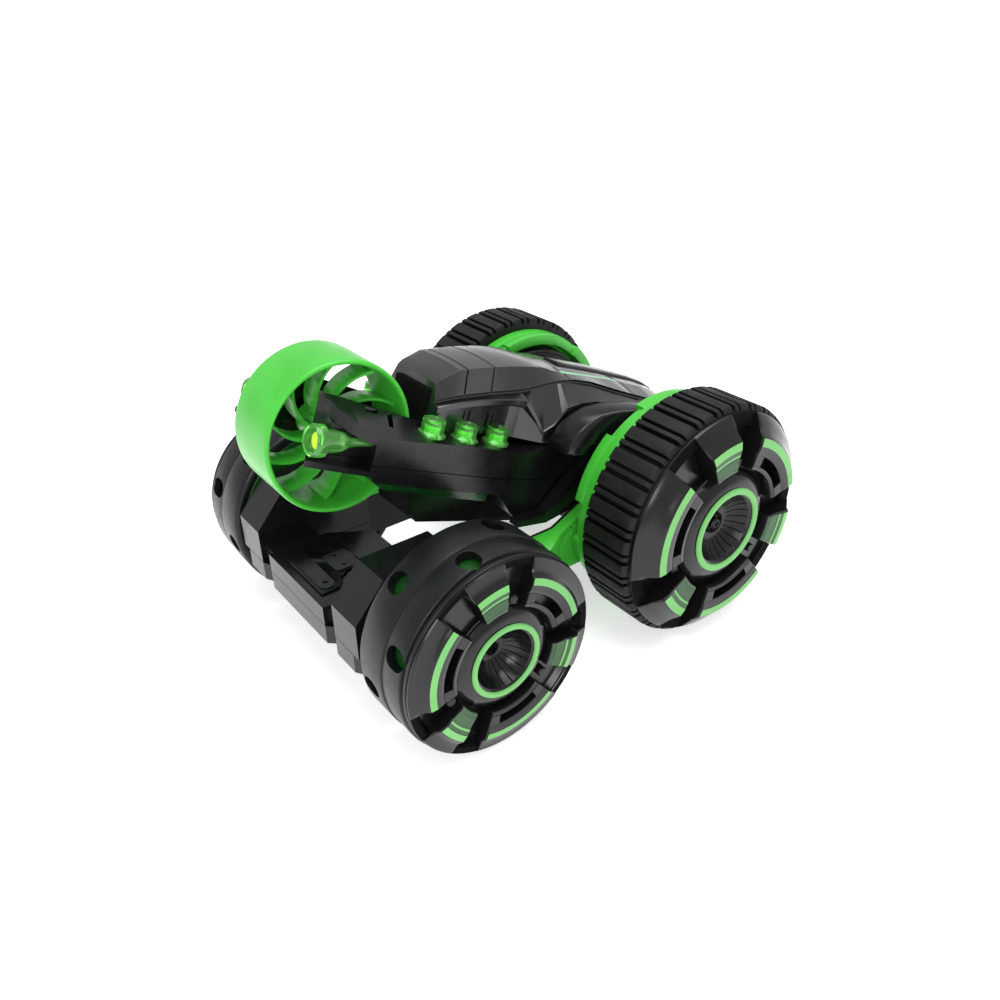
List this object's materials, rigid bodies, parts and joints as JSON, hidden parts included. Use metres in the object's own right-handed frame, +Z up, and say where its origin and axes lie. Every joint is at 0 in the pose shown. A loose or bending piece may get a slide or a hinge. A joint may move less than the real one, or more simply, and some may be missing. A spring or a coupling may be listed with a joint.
{
  "type": "rc stunt car",
  "caption": "Remote controlled stunt car with large lugged rear wheels, drum front wheels, a raised fork that carries a small green wheel, and green lamps.",
  "frame": {"origin": "on the ground, in the middle of the car's length and width", "axes": "the car faces -Y, +Z up, +X is the car's left side"},
  "size_m": [0.2048, 0.248, 0.1587],
  "materials": {
    "black_gloss": "glossy black moulded plastic with soft grey reflections",
    "black_satin": "satin black moulded plastic",
    "tyre": "matte black soft rubber tread",
    "green_plastic": "bright green glossy moulded plastic",
    "pale_green": "pale green printed trim",
    "lamp_green": "translucent green plastic lamp",
    "steel": "plain steel",
    "board": "green circuit board",
    "battery_wrap": "blue shrink wrap"
  },
  "bodies": {
    "chassis": {"front_beam_lower": "black_gloss", "front_beam_upper": "black_gloss", "front_beam_cover": "black_satin", "rear_axle": "steel", "left_side_arm": "green_plastic", "left_side_arm_cover": "black_satin", "left_gearbox_drum": "black_satin", "left_drive_motor": "steel", "left_front_axle_pin": "steel", "right_side_arm": "green_plastic", "right_side_arm_cover": "black_satin", "right_gearbox_drum": "black_satin", "right_drive_motor": "steel", "right_front_axle_pin": "steel"},
    "upper_body": {"body_top_shell": "black_gloss", "spine_cover": "black_gloss", "hull_lower_shell": "black_gloss", "nose_panel": "black_satin", "battery_door": "black_satin", "battery_pack": "battery_wrap", "circuit_board": "board", "fifth_wheel_axle": "steel", "left_wheel_fairing": "black_gloss", "left_fork_arm_upper": "black_gloss", "left_fork_arm_lower": "black_gloss", "left_headlamp": "lamp_green", "left_light_strip": "lamp_green", "left_deck_lamp_1": "lamp_green", "left_deck_lamp_2": "lamp_green", "left_deck_lamp_3": "lamp_green", "right_wheel_fairing": "black_gloss", "right_fork_arm_upper": "black_gloss", "right_fork_arm_lower": "black_gloss", "right_headlamp": "lamp_green", "right_light_strip": "lamp_green", "right_deck_lamp_1": "lamp_green", "right_deck_lamp_2": "lamp_green", "right_deck_lamp_3": "lamp_green"},
    "rear_left_wheel": {"left_rear_tyre": "tyre", "left_rear_rim": "green_plastic", "left_rear_wheel_face": "black_gloss", "left_rear_hub_ring": "pale_green", "left_rear_hub_screw": "steel"},
    "rear_right_wheel": {"right_rear_tyre": "tyre", "right_rear_rim": "green_plastic", "right_rear_wheel_face": "black_gloss", "right_rear_hub_ring": "pale_green", "right_rear_hub_screw": "steel"},
    "front_left_wheel": {"left_front_wheel_drum": "black_satin", "left_front_wheel_core": "green_plastic", "left_front_wheel_face": "black_gloss", "left_front_hub_ring": "pale_green", "left_front_hub_screw": "steel"},
    "front_right_wheel": {"right_front_wheel_drum": "black_satin", "right_front_wheel_core": "green_plastic", "right_front_wheel_face": "black_gloss", "right_front_hub_ring": "pale_green", "right_front_hub_screw": "steel"},
    "fifth_wheel": {"fifth_wheel_rim": "green_plastic"},
    "power_switch": {"power_switch": "black_satin"}
  },
  "joints": [
    {"name": "upper_body_swing", "type": "hinge", "parent": "chassis", "child": "upper_body", "pos_m": [0, 0.064, 0.06], "axis": [-1, 0, 0], "range_deg": [-2, 60]},
    {"name": "rear_left_spin", "type": "hinge", "parent": "chassis", "child": "rear_left_wheel", "pos_m": [0.077, 0.064, 0.06], "axis": [1, 0, 0], "continuous": true},
    {"name": "rear_right_spin", "type": "hinge", "parent": "chassis", "child": "rear_right_wheel", "pos_m": [-0.077, 0.064, 0.06], "axis": [1, 0, 0], "continuous": true},
    {"name": "front_left_spin", "type": "hinge", "parent": "chassis", "child": "front_left_wheel", "pos_m": [0.078, -0.0684, 0.0481], "axis": [1, 0, 0], "continuous": true},
    {"name": "front_right_spin", "type": "hinge", "parent": "chassis", "child": "front_right_wheel", "pos_m": [-0.078, -0.0684, 0.0481], "axis": [1, 0, 0], "continuous": true},
    {"name": "fifth_wheel_spin", "type": "hinge", "parent": "upper_body", "child": "fifth_wheel", "pos_m": [0, -0.08993, 0.1246], "axis": [1, 0, 0], "continuous": true},
    {"name": "power_switch_slide", "type": "slide", "parent": "upper_body", "child": "power_switch", "axis": [1, 0, 0], "range_m": [0, 0.0045]}
  ]
}
